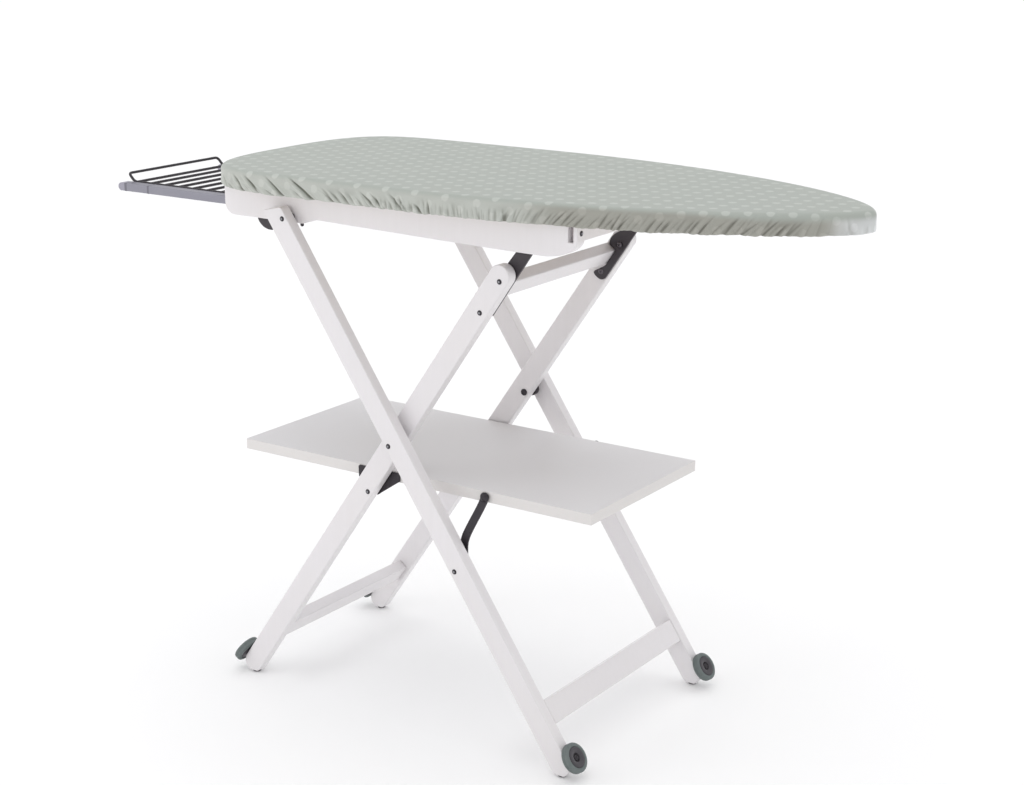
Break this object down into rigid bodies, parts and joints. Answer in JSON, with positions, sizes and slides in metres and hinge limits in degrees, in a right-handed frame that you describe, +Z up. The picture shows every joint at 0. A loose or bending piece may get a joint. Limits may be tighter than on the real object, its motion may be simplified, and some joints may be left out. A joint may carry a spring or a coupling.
{
  "type": "ironing board",
  "caption": "Folding wooden ironing board on crossed legs with a laundry shelf, a pull-out iron rest and small wheels at the feet.",
  "frame": {"origin": "floor, under the centre of the overall length and width", "axes": "+X to the nose, +Y to the back side, +Z up"},
  "size_m": [1.351, 0.472, 0.8902],
  "materials": {
    "white_lacquer": "smooth white lacquer on solid wood",
    "white_laminate": "satin white laminate on board",
    "black_plastic": "moulded, fine matt texture",
    "black_steel": "black coated steel",
    "grey_plastic": "matt grey",
    "grey_steel": "satin grey powder coat",
    "tyre_rubber": "matt grey",
    "cover_cotton": "sage cotton with pale dots",
    "padding_felt": "needled felt",
    "board_ply": "pale washed plywood"
  },
  "bodies": {
    "outer_frame": {"outer_leg_front": "white_lacquer", "outer_leg_back": "white_lacquer", "outer_stretcher": "white_lacquer", "board_pivot_bolt_front": "black_steel", "board_pivot_bolt_back": "black_steel", "board_pivot_washer_front": "black_plastic", "board_pivot_washer_back": "black_plastic", "crossing_bolt_front": "black_steel", "crossing_bolt_back": "black_steel", "crossing_washer_front": "black_plastic", "crossing_washer_back": "black_plastic", "link_bolt_front": "black_steel", "link_bolt_back": "black_steel", "wheel_axle_outer_front": "black_steel", "wheel_axle_outer_back": "black_steel", "glide_outer_front": "black_plastic", "glide_outer_back": "black_plastic"},
    "inner_frame": {"inner_leg_front": "white_lacquer", "inner_leg_back": "white_lacquer", "inner_stretcher": "white_lacquer", "inner_top_rail": "white_lacquer", "latch_bracket_front": "black_plastic", "latch_bracket_back": "black_plastic", "latch_bolt_front": "black_steel", "latch_bolt_back": "black_steel", "shelf_pivot_bolt_front": "black_steel", "shelf_pivot_bolt_back": "black_steel", "wheel_axle_inner_front": "black_steel", "wheel_axle_inner_back": "black_steel", "glide_inner_front": "black_plastic", "glide_inner_back": "black_plastic"},
    "board": {"board_panel": "board_ply", "board_padding": "padding_felt", "board_cover": "cover_cotton", "side_rail_front": "white_lacquer", "side_rail_back": "white_lacquer", "nose_cross_rail": "white_lacquer", "catch_rail": "white_lacquer", "hinge_plate_front": "black_plastic", "hinge_plate_back": "black_plastic", "rest_channel_front": "grey_steel", "rest_channel_back": "grey_steel"},
    "iron_rest": {"rest_tube_front": "grey_steel", "rest_tube_back": "grey_steel", "rest_end_cap_front": "grey_plastic", "rest_end_cap_back": "grey_plastic", "rest_wire_grid": "black_steel"},
    "shelf": {"shelf_panel": "white_laminate", "shelf_bracket_front": "black_steel", "shelf_bracket_back": "black_steel"},
    "link_front": {"shelf_link_front": "black_steel"},
    "link_back": {"shelf_link_back": "black_steel"},
    "wheel_outer_front": {"tyre_outer_front": "tyre_rubber", "wheel_hub_outer_front": "black_plastic"},
    "wheel_outer_back": {"tyre_outer_back": "tyre_rubber", "wheel_hub_outer_back": "black_plastic"},
    "wheel_inner_front": {"tyre_inner_front": "tyre_rubber", "wheel_hub_inner_front": "black_plastic"},
    "wheel_inner_back": {"tyre_inner_back": "tyre_rubber", "wheel_hub_inner_back": "black_plastic"}
  },
  "joints": [
    {"name": "frame_fold", "type": "hinge", "parent": "outer_frame", "child": "inner_frame", "pos_m": [-0.0255, 0, 0.478], "axis": [0, -1, 0], "range_deg": [0, 66]},
    {"name": "board_hinge", "type": "hinge", "parent": "outer_frame", "child": "board", "pos_m": [-0.2295, 0, 0.8175], "axis": [0, -1, 0], "range_deg": [0, 36.97]},
    {"name": "shelf_hinge", "type": "hinge", "parent": "inner_frame", "child": "shelf", "pos_m": [-0.093, 0, 0.382], "axis": [0, -1, 0], "range_deg": [-116.6, 0]},
    {"name": "link_hinge_front", "type": "hinge", "parent": "outer_frame", "child": "link_front", "pos_m": [0.1005, -0.19, 0.296], "axis": [0, -1, 0], "range_deg": [-115.91, 0]},
    {"name": "link_hinge_back", "type": "hinge", "parent": "outer_frame", "child": "link_back", "pos_m": [0.1005, 0.19, 0.296], "axis": [0, -1, 0], "range_deg": [-115.91, 0]},
    {"name": "rest_slide", "type": "slide", "parent": "board", "child": "iron_rest", "axis": [1, 0, 0], "range_m": [0, 0.25]},
    {"name": "wheel_spin_outer_front", "type": "hinge", "parent": "outer_frame", "child": "wheel_outer_front", "pos_m": [0.31087, -0.206, 0.03029], "axis": [0.8293, 0, 0.5588], "continuous": true},
    {"name": "wheel_spin_outer_back", "type": "hinge", "parent": "outer_frame", "child": "wheel_outer_back", "pos_m": [0.31087, 0.206, 0.03029], "axis": [0.8293, 0, 0.5588], "continuous": true},
    {"name": "wheel_spin_inner_front", "type": "hinge", "parent": "inner_frame", "child": "wheel_inner_front", "pos_m": [-0.37168, -0.1755, 0.03053], "axis": [-0.8198, 0, 0.5726], "continuous": true},
    {"name": "wheel_spin_inner_back", "type": "hinge", "parent": "inner_frame", "child": "wheel_inner_back", "pos_m": [-0.37168, 0.1755, 0.03053], "axis": [-0.8198, 0, 0.5726], "continuous": true}
  ],
  "couplings": [
    {"joint": "board_hinge", "follows": "frame_fold", "ratio": 0.56},
    {"joint": "shelf_hinge", "follows": "frame_fold", "ratio": -1.7665},
    {"joint": "link_hinge_front", "follows": "frame_fold", "ratio": -1.756},
    {"joint": "link_hinge_back", "follows": "frame_fold", "ratio": -1.756}
  ]
}
